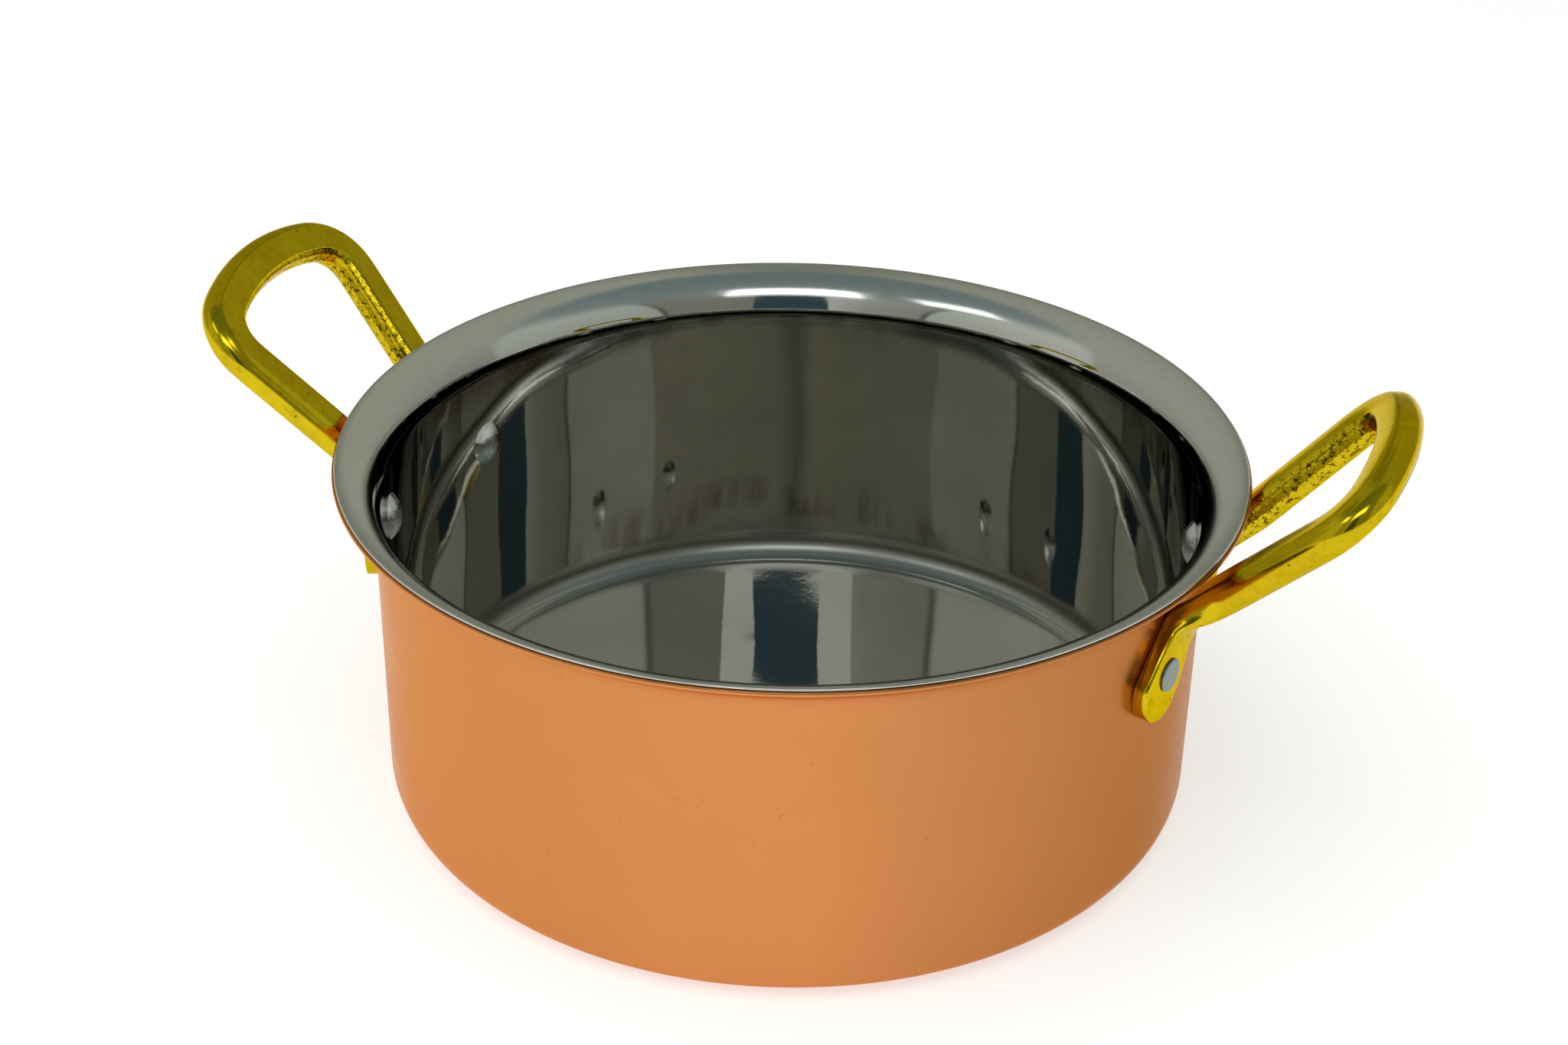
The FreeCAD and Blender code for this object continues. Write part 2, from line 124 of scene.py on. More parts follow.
def skin_rings(name, rings):
    """Faces between successive closed rings of points. Each end is a fan to its ring's middle."""
    rings = np.asarray(rings, float)
    count, around = rings.shape[:2]
    points = list(rings.reshape(-1, 3))
    faces = []
    for ring in range(count - 1):
        here, there = ring * around, (ring + 1) * around
        for k in range(around):
            after = (k + 1) % around
            faces.append((here + k, here + after, there + after, there + k))
    points.append(rings[0].mean(axis=0))
    faces += [(len(points) - 1, (k + 1) % around, k) for k in range(around)]
    points.append(rings[-1].mean(axis=0))
    last = (count - 1) * around
    faces += [(len(points) - 1, last + k, last + (k + 1) % around) for k in range(around)]
    return new_mesh(name, points, faces)


def arc(centre, radius, start, end, steps):
    """Points of an arc in the section plane, angles in degrees."""
    angles = np.radians(np.linspace(start, end, steps))
    return np.stack([centre[0] + radius * np.cos(angles), centre[1] + radius * np.sin(angles)], axis=1)


def line(start, end, steps):
    return np.linspace(start, end, steps)


def chain(*runs):
    """Joins runs of section points, leaving out repeated ones."""
    points = np.concatenate([np.asarray(run, float) for run in runs])
    keep = np.r_[True, np.linalg.norm(np.diff(points, axis=0), axis=1) > 1e-4]
    return points[keep]


# ---------------------------------------------------------------- pan

def pan_face(depth, lip_end, dish=0.0, taper=0.0):
    """The pan's section from the axis to the lip, at a depth below the copper's outer face."""
    wall, corner = WALL - depth, CORNER - depth
    lip = LIP_ARC - GAUGE + depth
    centre = (wall + lip, HEIGHT - LIP_ARC)
    turn = math.degrees(math.acos((lip_end - centre[0]) / lip))
    floor_end = wall - corner - taper
    floor_line = line((0.0, depth), (floor_end, depth), 90)
    lift = np.clip((floor_line[:, 0] - DISH_START) / (floor_end - DISH_START), 0, 1)
    floor_line[:, 1] += dish * lift ** 2
    bend = arc((floor_end, depth + corner), corner, -90, 0, 22)
    bend[:, 1] += dish * np.linspace(1, 0, len(bend))
    return chain(
        floor_line,
        bend,
        line((wall - taper, depth + corner), (wall, centre[1]), 60),
        arc(centre, lip, 180, turn, 50),
    )


def lip_edge(outer, inner, bulge):
    """The lip's rounded edge between the ends of a layer's two faces."""
    low, high = outer[-1], inner[-1]
    angles = np.radians(np.linspace(-90, 90, 15))
    radius = (low[0] + high[0]) / 2 + bulge * np.cos(angles)
    height = (low[1] + high[1]) / 2 + (high[1] - low[1]) / 2 * np.sin(angles)
    return np.stack([radius, height], axis=1)


def turn_section(name, section, ripple):
    """Turns a closed section about Z. The section's first and last points lie on the axis."""
    angles = np.linspace(0, 2 * math.pi, AROUND, endpoint=False)
    inner = section[1:-1]
    rings = np.empty((len(inner), AROUND, 3))
    for index, (radius, height) in enumerate(inner):
        swell = ripple(angles, radius, height)
        rings[index, :, 0] = (radius + swell) * np.cos(angles)
        rings[index, :, 1] = (radius + swell) * np.sin(angles)
        rings[index, :, 2] = height
    return skin_rings(name, rings)


def waves(count, low, high, size):
    """A smooth random wobble round the pan, of whole waves so that it closes on itself."""
    orders = rng.integers(low, high, count)
    phases = rng.uniform(0, 2 * math.pi, count)
    sizes = size * rng.uniform(0.4, 1.0, count) / np.sqrt(count)
    return lambda angles: sum(s * np.sin(o * angles + p) for o, p, s in zip(orders, phases, sizes))


def wall_ripple(size, low, high):
    """Unevenness of a spun wall: full in the middle of the wall, none at the base and the lip.

    size is in millimetres, and low and high bound the number of waves round the pan.
    """
    sets = [waves(6, low, high, size) for _ in range(3)]
    steps = rng.uniform(0, 2 * math.pi, 3)

    def ripple(angles, radius, height):
        if radius < WALL - CORNER - 2:
            return 0.0
        up = min(max((height - GAUGE) / (HEIGHT - 12), 0.0), 1.0)
        fade = math.sin(math.pi * up) ** 0.7 if 0 < up < 1 else 0.0
        return fade * sum(wobble(angles) * math.sin(step + (k + 1) * 2.5 * up)
                          for k, (wobble, step) in enumerate(zip(sets, steps)))
    return ripple


def copper_shell():
    outer = pan_face(0.0, LIP_RADIUS - COPPER_EDGE)
    inner = pan_face(COPPER_GAUGE - SEAM, LIP_RADIUS - COPPER_EDGE)
    section = chain(outer, lip_edge(outer, inner, COPPER_EDGE), inner[::-1])
    return turn_section("shell_turned", section, wall_ripple(0.05, 2, 9))


def steel_liner():
    outer = pan_face(COPPER_GAUGE + SEAM, LINER_LIP - LINER_EDGE)
    inner = pan_face(GAUGE, LINER_LIP - LINER_EDGE, DISH_RISE, TAPER)
    section = chain(outer, lip_edge(outer, inner, LINER_EDGE), inner[::-1])
    return turn_section("liner_turned", section, wall_ripple(0.04, 3, 19))


# ---------------------------------------------------------------- handles

def radial(azimuth):
    """Unit vector out of the pan at an azimuth in degrees."""
    angle = math.radians(azimuth)
    return np.array([math.cos(angle), math.sin(angle), 0.0])


def unit(vector):
    return vector / np.linalg.norm(vector)


def foot_point(drop):
    """The middle of a foot at a drop below its rivet, and the direction that faces out of the wall."""
    sideways = drop * math.tan(FOOT_LEAN)
    azimuth = RIVET_ANGLE + math.degrees(sideways / WALL)
    out = radial(azimuth)
    return out * (WALL + (FOOT_GAUGE - FOOT_SINK) / 2) + np.array([0, 0, RIVET_HEIGHT - drop]), out


def loop_point(along, aside):
    """A point of the loop's leaning plane, from the necks' line out and up, and sideways."""
    return np.array([NECK[0] + along * math.cos(LOOP_SLOPE), aside, NECK[2] + along * math.sin(LOOP_SLOPE)])


def loop_half():
    """Centre line of half the loop, from a neck round the corner to the middle of the end bar."""
    bow = (LOOP_SPREAD ** 2 + LOOP_BULGE ** 2) / (2 * LOOP_BULGE)
    bow_centre = np.array([LOOP_LENGTH + LOOP_BULGE - bow, 0.0])
    start = np.array([0.0, NECK[1]])
    leg = unit(np.array([LOOP_LENGTH, LOOP_SPREAD - NECK[1]]))
    inward = np.array([leg[1], -leg[0]])
    low, high = 0.0, LOOP_LENGTH * 1.2
    for _ in range(50):
        middle = (low + high) / 2
        gap = np.linalg.norm(start + leg * middle + inward * LOOP_CORNER - bow_centre) - (bow - LOOP_CORNER)
        low, high = (middle, high) if gap < 0 else (low, middle)
    touch = start + leg * low
    centre = touch + inward * LOOP_CORNER
    out = centre - bow_centre
    first = math.degrees(math.atan2(-inward[1], -inward[0]))
    last = math.degrees(math.atan2(out[1], out[0]))
    return chain(line(start, touch, 50), arc(centre, LOOP_CORNER, first, last, 24),
                 arc(bow_centre, bow, last, 0, 40))


def ease(start, start_pull, end, end_pull, part):
    """A point part way along a curve that leaves and arrives along the two pulls."""
    a, b, c = part * part * (3 - 2 * part), part * (1 - part) ** 2, part * part * (part - 1)
    return start * (1 - a) + end * a + start_pull * b + end_pull * c


def leaf_width(drop):
    """The foot's width at a drop: narrower towards the bend, full at the rivet, round at the end."""
    length = 1 / math.cos(FOOT_LEAN)
    from_end = max((FOOT_END - drop) * length, 0.0)
    half = FOOT_WIDTH / 2
    if from_end < half:
        return 2 * math.sqrt(max(half ** 2 - (half - from_end) ** 2, 0.0))
    if drop < 0:
        return FOOT_WIDTH * (1 - 0.15 * (drop / FOOT_TOP) ** 2)
    return FOOT_WIDTH


def handle_stations():
    """Centre, outward direction, width, depth and edge softness along half a handle, foot first."""
    rows = []
    under = np.array([math.sin(LOOP_SLOPE), 0.0, -math.cos(LOOP_SLOPE)])
    half = FOOT_WIDTH / 2
    turn = np.linspace(0.12, math.pi / 2, 14)
    round_drops = FOOT_END - half * (1 - np.cos(turn)) * math.cos(FOOT_LEAN)
    for drop in np.concatenate([round_drops, np.linspace(round_drops[-1], FOOT_TOP, 22)[1:]]):
        centre, out = foot_point(drop)
        rows.append((centre, out, leaf_width(drop), FOOT_GAUGE + FOOT_SINK, 0.0))
    top, top_out = foot_point(FOOT_TOP)
    up = unit(foot_point(FOOT_TOP - 0.5)[0] - foot_point(FOOT_TOP + 0.5)[0])
    loop = [loop_point(a, b) for a, b in loop_half()]
    away = unit(loop[1] - loop[0])
    for part in np.linspace(0, 1, 30)[1:-1]:
        centre = ease(top, up * BEND_PULL, NECK, away * BEND_PULL, part)
        blend = part * part * (3 - 2 * part)
        out = unit(top_out * (1 - blend) + under * blend)
        width = leaf_width(FOOT_TOP) * (1 - blend) + ROD_WIDTH * blend
        depth = (FOOT_GAUGE + FOOT_SINK) * (1 - blend) + ROD_DEPTH * blend
        rows.append((centre, out, width, depth, blend))
    rows += [(centre, under, ROD_WIDTH, ROD_DEPTH, 1.0) for centre in loop]
    return rows


def resample(values, lengths, stops):
    """Rows given at some lengths along a path, read off at other ones."""
    values = np.asarray(values, float)
    if values.ndim == 1:
        return np.interp(stops, lengths, values)
    return np.stack([np.interp(stops, lengths, column) for column in values.T], axis=1)


def soften(values, reach):
    """Averages rows with their neighbours, keeping both ends."""
    kernel = np.exp(-0.5 * (np.arange(-3 * reach, 3 * reach + 1) / reach) ** 2)
    kernel /= kernel.sum()
    before, after = (np.repeat(end, 3 * reach, 0) for end in (values[:1], values[-1:]))
    padded = np.concatenate([before, values, after])
    if values.ndim == 1:
        return np.convolve(padded, kernel, "valid")
    return np.stack([np.convolve(column, kernel, "valid") for column in padded.T], axis=1)


def bar_outline(width, depth, rod):
    """Outline of the bar across its path.

    x points into the loop, y to the loop's underside. rod is 0 on a foot and 1 on the loop.
    """
    corners = [  # x side, y side, corner radius on a foot, on the loop, first angle
        (1, -1, 0.9, 1.6, -90), (1, 1, 0.9, 1.8, 0), (-1, 1, 0.9, 2.8, 90), (-1, -1, 0.9, 2.8, 180)]
    points = []
    for side_x, side_y, on_foot, on_loop, first in corners:
        radius = min(on_foot * (1 - rod) + on_loop * rod, width / 2 - 0.02, depth / 2 - 0.02)
        centre = (side_x * (width / 2 - radius), side_y * (depth / 2 - radius))
        points.append(arc(centre, radius, first, first + 90, 10))
    outline = []
    for index, corner in enumerate(points):
        outline.append(corner)
        following = points[(index + 1) % 4]
        outline.append(line(corner[-1], following[0], 12)[1:-1])
    outline = np.concatenate(outline)
    across, through = outline[:, 0] / (width / 2), outline[:, 1] / (depth / 2)
    outline[:, 0] *= 1 - (1 - rod) * UNDERCUT * np.clip(-through, 0, 1)
    crown = rod * CROWN * np.clip(1 - across ** 2, 0, 1) * np.sign(through) * (np.abs(through) > 0.9)
    ridge = rod * RIDGE * np.clip(1 - np.abs(through - 0.1) / 0.5, 0, 1) * (across > 0.9)
    return outline + np.stack([ridge, crown], axis=1)


def handle(name, azimuth, stretch, widen):
    """One casting. stretch and widen are how much longer and wider its loop came out than the pattern."""
    rows = handle_stations()
    rest = rows[-2::-1]
    mirror = np.array([1.0, -1.0, 1.0])
    centres, outs = (np.array([r[k] for r in rows] + [r[k] * mirror for r in rest]) for k in (0, 1))
    widths, depths, rods = (np.array([r[k] for r in rows + rest]) for k in (2, 3, 4))
    lengths = np.r_[0, np.cumsum(np.linalg.norm(np.diff(centres, axis=0), axis=1))]
    tip = 5.0           # the rounded ends keep their own stations over this length
    body = np.arange(tip, lengths[-1] - tip, 0.5)
    ends = lengths[lengths < tip]
    stops = np.concatenate([ends, body, lengths[-1] - ends[::-1]])
    centres, outs, widths, depths, rods = (
        resample(v, lengths, stops) for v in (centres, outs, widths, depths, rods))
    inside = slice(len(ends), len(stops) - len(ends))
    for values, reach in ((centres, 3), (outs, 5), (depths, 4), (rods, 5)):
        values[inside] = soften(values, reach)[inside]
    away = np.array([math.cos(LOOP_SLOPE), 0, math.sin(LOOP_SLOPE)])
    centres += np.outer(np.maximum((centres - NECK) @ away, 0) * (stretch - 1), away)
    centres[:, 1] *= 1 + rods * (widen - 1)
    along = np.gradient(centres, stops, axis=0)
    rings, inner_face = [], []
    for k in range(len(stops)):
        forward = unit(along[k])
        out = unit(outs[k] - forward * np.dot(outs[k], forward))
        inward = np.cross(out, forward)
        outline = bar_outline(widths[k], depths[k], rods[k])
        ring = centres[k] + outline[:, :1] * inward + outline[:, 1:] * out
        rings.append(ring)
        inner_face.append(rods[k] * np.clip((outline[:, 0] - widths[k] / 2 + 1.2) / 1.0, 0, 1))
    rings = np.array(rings)
    radius = np.hypot(rings[..., 0], rings[..., 1])
    back = WALL + FOOT_CLEARANCE
    below_lip = rings[..., 2] < HEIGHT - 9
    rings[..., :2] *= np.where((radius < back) & below_lip, back / radius, 1.0)[..., None]
    turn = np.array(Matrix.Rotation(math.radians(azimuth), 3, "Z"))
    piece = skin_rings(name, rings @ turn.T)
    mark = piece.data.attributes.new("inner_face", "FLOAT", "POINT")
    values = np.concatenate(inner_face + [[0.0, 0.0]])      # the last two are the middles of the ends
    mark.data.foreach_set("value", values.astype(np.float32))
    return piece


# ---------------------------------------------------------------- rivets

def rivet(name, place, azimuth):
    """Hammered dome inside, shank, and a flat peened end outside, along the radius."""
    seat = WALL - GAUGE
    outside = WALL + FOOT_GAUGE
    around = 96
    dome = (HEAD_RADIUS ** 2 + HEAD_RISE ** 2) / (2 * HEAD_RISE)
    angles = np.linspace(0, 2 * math.pi, around, endpoint=False)
    facets = [(0.0, 0.0)]
    for ring_size, count in ((0.42, 6), (0.78, 10)):
        start = rng.uniform(0, 2 * math.pi)
        facets += [(ring_size * HEAD_RADIUS * rng.uniform(0.9, 1.1), start + 2 * math.pi * k / count
                    + rng.uniform(-0.15, 0.15)) for k in range(count)]

    def dome_height(x, y):
        """Height of a dome beaten into flats: the lowest of its tangent planes, eased at the creases."""
        lowest = []
        for distance, angle in facets:
            a, b = distance * math.cos(angle), distance * math.sin(angle)
            level = math.sqrt(dome ** 2 - distance ** 2)
            lowest.append((dome ** 2 - a * x - b * y) / level - dome + HEAD_RISE)
        lowest = np.array(lowest)
        sharp = 14.0
        flat = -np.log(np.exp(-sharp * lowest).sum(axis=0)) / sharp
        smooth = np.sqrt(np.maximum(dome ** 2 - x ** 2 - y ** 2, 0)) - dome + HEAD_RISE
        return 0.5 * smooth + 0.5 * flat

    rings = []
    seat_gap = 0.12     # the head's rim stands off the wall's curve
    dome_end = HEAD_RADIUS - 0.3
    rim = HEAD_RADIUS - 0.3 * np.array([0.6, 0.3, 0.1, 0])
    for reach in np.concatenate([np.linspace(0.05, dome_end, 26), rim]):
        x, y = reach * np.cos(angles), reach * np.sin(angles)
        height = np.maximum(dome_height(x, y), seat_gap)
        rings.append(np.stack([seat - height, x, y], axis=1))
    for level, reach in ((seat + 0.1, HEAD_RADIUS), (seat + 0.3, SHANK_RADIUS), (outside, SHANK_RADIUS),
                         (outside, TAIL_RADIUS - 0.1), (outside + 0.15, TAIL_RADIUS),
                         (outside + 0.3, TAIL_RADIUS - 0.03), (outside + 0.42, TAIL_RADIUS - 0.15),
                         (outside + TAIL_RISE, TAIL_RADIUS - 0.4)):
        x, y = reach * np.cos(angles), reach * np.sin(angles)
        rings.append(np.stack([np.full(around, level), x, y], axis=1))
    for reach in np.linspace(TAIL_RADIUS - 0.8, 0.1, 10):
        dent = 0.05 * np.sin(3 * angles + reach) * reach / TAIL_RADIUS
        x, y = reach * np.cos(angles), reach * np.sin(angles)
        rings.append(np.stack([outside + TAIL_RISE + dent, x, y], axis=1))
    rings = np.array(rings)
    turn = np.array(Matrix.Rotation(math.radians(azimuth), 3, "Z"))
    rings = rings @ turn.T + np.array([0, 0, RIVET_HEIGHT + RIVET_LIFT[place]])
    return skin_rings(name, rings[:, ::-1])


# ---------------------------------------------------------------- materials

def set_stops(node, stops):
    """Fills a colour ramp with (position, colour) stops."""
    elements = node.color_ramp.elements
    while len(elements) < len(stops):
        elements.new(0.5)
    for element, (position, colour) in zip(elements, stops):
        element.position = position
        element.color = (*colour, 1)


class Nodes:
    """Short names for building one material's node tree."""

    def __init__(self, name):
        self.material = bpy.data.materials.new(name)
        self.material.use_nodes = True
        self.tree = self.material.node_tree
        self.shader = self.tree.nodes["Principled BSDF"]

    def add(self, kind, **inputs):
        node = self.tree.nodes.new(kind)
        for key, value in inputs.items():
            if key in node.inputs:
                self.feed(node.inputs[key], value)
            else:
                setattr(node, key, value)
        return node

    def feed(self, socket, value):
        if isinstance(value, bpy.types.NodeSocket):
            self.tree.links.new(value, socket)
        else:
            socket.default_value = value

    def place(self, scale):
        """Object coordinates, stretched."""
        where = self.add("ShaderNodeTexCoord")
        mapping = self.add("ShaderNodeMapping", Vector=where.outputs["Object"])
        mapping.inputs["Scale"].default_value = scale
        return mapping.outputs["Vector"]

    def noise(self, scale, detail, roughness, stretch=(1, 1, 1)):
        node = self.add("ShaderNodeTexNoise", Vector=self.place(stretch))
        node.inputs["Scale"].default_value = scale
        node.inputs["Detail"].default_value = detail
        node.inputs["Roughness"].default_value = roughness
        return node.outputs["Fac"]

    def ramp(self, factor, stops):
        node = self.add("ShaderNodeValToRGB", Fac=factor)
        set_stops(node, stops)
        return node.outputs["Color"]

    def grey_ramp(self, factor, stops):
        return self.ramp(factor, [(p, (v, v, v)) for p, v in stops])

    def mix(self, factor, first, second):
        node = self.add("ShaderNodeMix", data_type="RGBA")
        self.feed(node.inputs["Factor"], factor)
        for socket, value in ((node.inputs[6], first), (node.inputs[7], second)):
            self.feed(socket, (*value, 1) if isinstance(value, tuple) and len(value) == 3 else value)
        return node.outputs[2]

    def times(self, first, second):
        node = self.add("ShaderNodeMath", operation="MULTIPLY")
        self.feed(node.inputs[0], first)
        self.feed(node.inputs[1], second)
        return node.outputs[0]

    def bump(self, height, strength, distance, after=None):
        node = self.add("ShaderNodeBump", Height=height)
        node.inputs["Strength"].default_value = strength
        node.inputs["Distance"].default_value = distance
        if after is not None:
            self.feed(node.inputs["Normal"], after)
        return node.outputs["Normal"]

    def finish(self, **inputs):
        for key, value in inputs.items():
            self.feed(self.shader.inputs[key.replace("_", " ")], value)
        return self.material


def height_above(nodes):
    where = nodes.add("ShaderNodeTexCoord")
    split = nodes.add("ShaderNodeSeparateXYZ", Vector=where.outputs["Object"])
    return split.outputs["Z"]


def copper():
    n = Nodes("copper")
    cloud = n.noise(14, 4, 0.6)
    tone = n.ramp(cloud, [(0.3, (0.60, 0.232, 0.072)), (0.7, (0.66, 0.262, 0.088))])
    # painted shade: the copper's colour darkens towards +X, so the pan's right side reads darker
    side = n.add("ShaderNodeSeparateXYZ", Vector=n.place((1, 1, 1))).outputs["X"]
    painted_shade_right = n.add("ShaderNodeMapRange", Value=side)
    painted_shade_right.inputs["From Min"].default_value = 30 * MM
    painted_shade_right.inputs["From Max"].default_value = 84 * MM
    tone = n.mix(n.grey_ramp(painted_shade_right.outputs["Result"], [(0.0, 0.0), (1.0, 0.75)]), tone, (0.36, 0.13, 0.038))
    specks = n.noise(420, 1, 0.5)
    tone = n.mix(n.grey_ramp(specks, [(0.76, 0.0), (0.82, 0.5)]), tone, (0.42, 0.14, 0.05))
    rough = n.grey_ramp(n.noise(60, 5, 0.6), [(0.3, 0.25), (0.7, 0.33)])
    spun = n.noise(9, 6, 0.7, stretch=(1, 1, 60))
    normal = n.bump(spun, 0.04, 0.0003)
    return n.finish(Base_Color=tone, Metallic=1.0, Roughness=rough, Normal=normal,
                    Specular_Tint=(0.93, 0.72, 0.55, 1))


def stainless():
    n = Nodes("stainless")
    z = height_above(n)
    lip = n.add("ShaderNodeMapRange", Value=z)
    lip.inputs["From Min"].default_value = (HEIGHT - 7.0) * MM
    lip.inputs["From Max"].default_value = (HEIGHT - 3.0) * MM
    cloud = n.noise(35, 4, 0.6)
    wall_tone = n.ramp(cloud, [(0.3, (0.50, 0.49, 0.45)), (0.7, (0.56, 0.55, 0.51))])
    lip_tone = n.ramp(n.noise(500, 2, 0.6), [(0.3, (0.64, 0.64, 0.60)), (0.7, (0.67, 0.67, 0.63))])
    tone = n.mix(lip.outputs["Result"], wall_tone, lip_tone)
    stain = n.add("ShaderNodeMapRange", Value=z)        # a brown heat stain just under the flare
    stain.inputs["From Min"].default_value = (HEIGHT - 17.0) * MM
    stain.inputs["From Max"].default_value = (HEIGHT - 8.0) * MM
    band = n.grey_ramp(stain.outputs["Result"], [(0.0, 0.0), (0.55, 0.8), (0.85, 1.0), (1.0, 0.0)])
    patches = n.grey_ramp(n.noise(45, 5, 0.7), [(0.46, 0.0), (0.62, 0.75)])
    tone = n.mix(n.times(band, patches), tone, (0.20, 0.15, 0.10))
    wall_rough = n.grey_ramp(n.noise(18, 5, 0.6, stretch=(1, 1, 0.3)), [(0.3, 0.015), (0.75, 0.05)])
    low = n.add("ShaderNodeMapRange", Value=z)          # the corner at the floor is duller than the wall
    low.inputs["From Max"].default_value = 12 * MM
    corner = n.grey_ramp(low.outputs["Result"], [(0.19, 0.0), (0.28, 1.0), (0.5, 1.0), (0.68, 0.0)])
    wall_rough = n.mix(corner, wall_rough, (0.34, 0.34, 0.34))
    # painted shade: the colour in the cove between floor and wall is darkened; the extra roughness there is
    # the real duller finish
    tone = n.mix(n.times(corner, 0.6), tone, (0.22, 0.21, 0.18))
    lip_rough = n.grey_ramp(n.noise(300, 3, 0.6), [(0.3, 0.16), (0.7, 0.20)])
    rough = n.mix(lip.outputs["Result"], wall_rough, lip_rough)
    ripple = n.noise(28, 3, 0.5, stretch=(1, 1, 0.25))
    normal = n.bump(ripple, 0.09, 0.0006)
    grain = n.noise(900, 2, 0.6)
    normal = n.bump(grain, 0.04, 0.00005, normal)
    return n.finish(Base_Color=tone, Metallic=1.0, Roughness=rough, Normal=normal)


def brass():
    n = Nodes("brass")
    inner = n.add("ShaderNodeAttribute", attribute_name="inner_face").outputs["Fac"]
    cloud = n.noise(90, 4, 0.65)
    tone = n.ramp(cloud, [(0.25, (0.52, 0.37, 0.005)), (0.75, (0.72, 0.53, 0.012))])
    dull = n.noise(420, 5, 0.75)
    tone = n.mix(n.grey_ramp(dull, [(0.52, 0.0), (0.70, 0.45)]), tone, (0.25, 0.165, 0.004))
    pits = n.noise(700, 2, 0.6)
    tone = n.mix(n.grey_ramp(pits, [(0.70, 0.0), (0.76, 0.8)]), tone, (0.06, 0.035, 0.003))
    marks = n.noise(900, 3, 0.7)
    worn = n.times(inner, n.grey_ramp(marks, [(0.52, 0.0), (0.60, 0.9)]))
    tone = n.mix(worn, tone, (0.07, 0.035, 0.003))
    rough = n.grey_ramp(n.noise(60, 5, 0.6), [(0.3, 0.13), (0.75, 0.24)])
    soft = n.bump(n.noise(110, 3, 0.5), 0.10, 0.0004)
    normal = n.bump(n.times(inner, marks), 0.5, 0.0004, soft)
    return n.finish(Base_Color=tone, Metallic=1.0, Roughness=rough, Normal=normal,
                    Specular_Tint=(0.90, 0.78, 0.45, 1))


def rivet_steel():
    n = Nodes("rivet_steel")
    tone = n.ramp(n.noise(300, 3, 0.6), [(0.3, (0.66, 0.68, 0.68)), (0.7, (0.90, 0.92, 0.92))])
    rough = n.grey_ramp(n.noise(500, 3, 0.6), [(0.3, 0.20), (0.7, 0.38)])
    flat_place = n.add("ShaderNodeVectorMath", operation="LENGTH")
    n.feed(flat_place.inputs[0], n.place((1, 1, 0)))
    outside = n.add("ShaderNodeMapRange", Value=flat_place.outputs["Value"])      # the peened end is duller
    outside.inputs["From Min"].default_value = (WALL + 1) * MM
    outside.inputs["From Max"].default_value = (WALL + 2) * MM
    tone = n.mix(outside.outputs["Result"], tone, (0.30, 0.32, 0.31))
    rough = n.mix(outside.outputs["Result"], rough, (0.5, 0.5, 0.5))
    normal = n.bump(n.noise(420, 3, 0.6), 0.45, 0.0004)
    return n.finish(Base_Color=tone, Metallic=1.0, Roughness=rough, Normal=normal)


# ---------------------------------------------------------------- assembly

pieces = [
    (copper_shell(), "copper_shell", "copper", copper()),
    (steel_liner(), "steel_liner", "stainless", stainless()),
]
brass_material, rivet_material = brass(), rivet_steel()
pieces += [(handle("right_handle", 0, *RIGHT_LOOP), "handle_right", "brass", brass_material),
           (handle("left_handle", 180, *LEFT_LOOP), "handle_left", "brass", brass_material)]
for side, place, azimuth in (("right", "back", RIVET_ANGLE), ("right", "front", -RIVET_ANGLE),
                             ("left", "front", 180 + RIVET_ANGLE), ("left", "back", 180 - RIVET_ANGLE)):
    pieces.append((rivet(f"{side}_{place}_rivet", f"{side}_{place}", azimuth), f"rivet_{side}_{place}",
                   "rivet_steel", rivet_material))
for piece, node, slot, material in pieces:
    piece.data.materials.append(material)
    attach(piece, "root")
    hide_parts(node)


# ---------------------------------------------------------------- stage

FLOOR_GLOW = 0.55
KEY_POWER = 11
VIEW_AZIMUTH = 18.0             # degrees
VIEW_ELEVATION = 29.2
VIEW_ROLL = 0.97
LENS = 57.13                    # on a 36 mm wide sensor


def emission(name, colour):
    material = bpy.data.materials.new(name)
    material.use_nodes = True
    tree = material.node_tree
    tree.nodes.clear()
    glow = tree.nodes.new("ShaderNodeEmission")
    glow.inputs["Color"].default_value = (*colour, 1)
    glow.inputs["Strength"].default_value = 1.0
    out = tree.nodes.new("ShaderNodeOutputMaterial")
    tree.links.new(glow.outputs[0], out.inputs["Surface"])
    return material


def floor():
    """A pale floor that glows a little, as a lit white sweep does."""
    bpy.ops.mesh.primitive_plane_add(size=12, location=(0, 0, -0.0002))
    plane = bpy.context.object
    plane.name = "floor"
    n = Nodes("floor")
    n.finish(Base_Color=(0.86, 0.86, 0.86, 1), Roughness=0.9, Specular_IOR_Level=0.0,
             Emission_Color=(1.0, 1.0, 1.0, 1), Emission_Strength=FLOOR_GLOW)
    plane.data.materials.append(n.material)


def area_light(name, azimuth, elevation, distance, size, power):
    """A soft light that faces the pan, placed by azimuth (0 is the camera's side of -Y) and elevation."""
    data = bpy.data.lights.new(name, "AREA")
    data.shape = "RECTANGLE"
    data.size, data.size_y = size
    data.energy = power
    light = bpy.data.objects.new(name, data)
    a, e = math.radians(azimuth), math.radians(elevation)
    back = Vector((math.sin(a) * math.cos(e), -math.cos(a) * math.cos(e), math.sin(e)))
    light.location = back * distance + Vector((0, 0, 0.05))
    light.rotation_mode = "QUATERNION"
    light.rotation_quaternion = (-back).to_track_quat("-Z", "Y")
    bpy.context.scene.collection.objects.link(light)
    return light


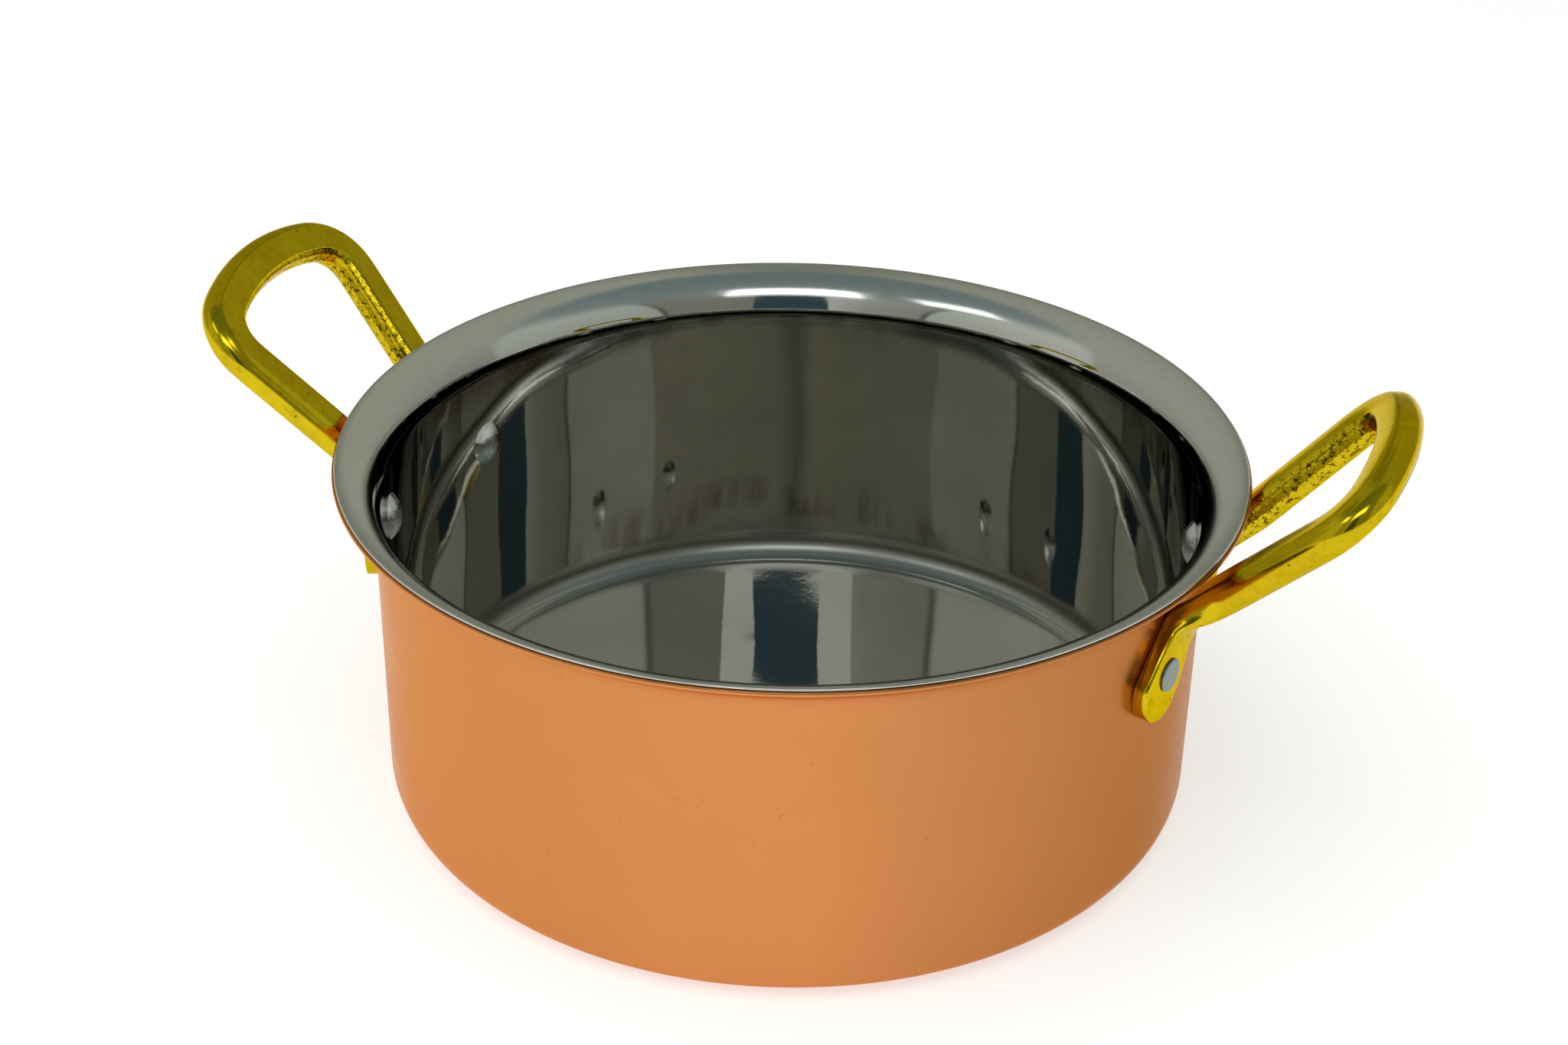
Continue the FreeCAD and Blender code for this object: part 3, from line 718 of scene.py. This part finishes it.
def world():
    """A soft studio surround, as the metal mirrors it.

    Beige behind the pan, blue-grey overhead, and paler and darker upright strips on the camera's side.
    """
    surround = bpy.data.worlds.new("studio")
    bpy.context.scene.world = surround
    surround.use_nodes = True
    tree = surround.node_tree
    where = tree.nodes.new("ShaderNodeTexCoord").outputs["Generated"]
    turn = math.radians(VIEW_AZIMUTH)

    def along(direction, stops):
        """A colour ramp over the part of the view direction that points this way, from -1 to 1."""
        dot = tree.nodes.new("ShaderNodeVectorMath")
        dot.operation = "DOT_PRODUCT"
        tree.links.new(where, dot.inputs[0])
        dot.inputs[1].default_value = direction
        span = tree.nodes.new("ShaderNodeMapRange")
        span.inputs["From Min"].default_value = -1
        tree.links.new(dot.outputs["Value"], span.inputs["Value"])
        ramp = tree.nodes.new("ShaderNodeValToRGB")
        tree.links.new(span.outputs["Result"], ramp.inputs["Fac"])
        set_stops(ramp, [((position + 1) / 2, colour) for position, colour in stops])
        return ramp.outputs["Color"]

    def mix(factor, first, second):
        node = tree.nodes.new("ShaderNodeMix")
        node.data_type = "RGBA"
        for socket, link in (("Factor", factor), (6, first), (7, second)):
            tree.links.new(link, node.inputs[socket])
        return node.outputs[2]

    right = (math.cos(turn), math.sin(turn), 0)
    behind = along(right, [(-1.0, (0.42, 0.43, 0.37)), (-0.16, (0.34, 0.36, 0.30)), (0.0, (0.20, 0.22, 0.18)),
                           (0.16, (0.37, 0.385, 0.32)), (1.0, (0.36, 0.375, 0.32))])
    front = along(right, [(-1.0, (0.60, 0.62, 0.57)), (-0.62, (0.55, 0.60, 0.55)),
                          (-0.60, (0.10, 0.11, 0.10)), (-0.58, (0.34, 0.36, 0.33)),
                          (-0.34, (0.40, 0.43, 0.40)), (-0.16, (0.58, 0.62, 0.57)),
                          (0.18, (0.26, 0.27, 0.24)), (0.58, (0.26, 0.27, 0.24)),
                          (0.60, (0.10, 0.11, 0.10)), (0.62, (0.48, 0.53, 0.48)),
                          (1.0, (0.50, 0.54, 0.50))])
    overhead = along((0, 0, 1), [(0.0, (0.30, 0.33, 0.31)), (0.55, (0.26, 0.31, 0.31)),
                                 (1.0, (0.16, 0.215, 0.22))])
    high = along((0, 0, 1), [(0.56, (0, 0, 0)), (0.74, (1, 1, 1))])
    tilt = math.radians(11)
    rear = (-math.sin(turn) * math.cos(tilt), math.cos(turn) * math.cos(tilt), -math.sin(tilt))
    is_rear = along(rear, [(-0.02, (0, 0, 0)), (0.02, (1, 1, 1))])
    colour = mix(is_rear, mix(high, front, overhead), behind)
    tree.links.new(colour, tree.nodes["Background"].inputs["Color"])


def card(name, azimuth, low, high, distance, width, colour):
    """An upright card between two elevations that only reflections see."""
    bottom, top = (distance * math.tan(math.radians(angle)) + 0.07 for angle in (low, high))
    bpy.ops.mesh.primitive_plane_add(size=1)
    plane = bpy.context.object
    plane.name = name
    a = math.radians(azimuth)
    plane.scale = (width, top - bottom, 1)
    plane.location = (math.sin(a) * distance, -math.cos(a) * distance, (bottom + top) / 2)
    plane.rotation_euler = (math.radians(90), 0, a)
    plane.visible_camera = False
    plane.visible_diffuse = False
    plane.visible_shadow = False
    plane.data.materials.append(emission(name, colour))


floor()
world()
key = area_light("key", VIEW_AZIMUTH - 30, 68, 1.6, (1.8, 1.6), KEY_POWER)
key.visible_glossy = False
card("window", VIEW_AZIMUTH, 40, 54, 2.2, 1.75, (2.6, 2.75, 2.75))
card("window_sill", VIEW_AZIMUTH, 35, 40, 2.25, 1.75, (0.75, 0.80, 0.78))
card("side_window", VIEW_AZIMUTH - 56, 40, 50, 2.2, 1.1, (1.9, 2.0, 2.0))
card("photographer", VIEW_AZIMUTH + 1, 0, 36.5, 1.4, 0.54, (0.045, 0.085, 0.110))


def camera():
    data = bpy.data.cameras.new("camera")
    data.sensor_width = 36
    data.lens = LENS
    data.clip_start = 0.01
    eye = bpy.data.objects.new("camera", data)
    turn = (Matrix.Rotation(math.radians(VIEW_AZIMUTH), 3, "Z")
            @ Matrix.Rotation(math.radians(90 - VIEW_ELEVATION), 3, "X")
            @ Matrix.Rotation(math.radians(VIEW_ROLL), 3, "Z"))
    # where the middle of the lip stands in the camera's own axes: right, up, forward
    aim = Vector((1.63, 16.11, -491.98)) * MM
    eye.location = Vector((0, 0, HEIGHT * MM)) - turn @ aim
    eye.rotation_euler = turn.to_euler()
    bpy.context.scene.collection.objects.link(eye)
    bpy.context.scene.camera = eye


camera()
bpy.context.scene.view_settings.view_transform = "Standard"
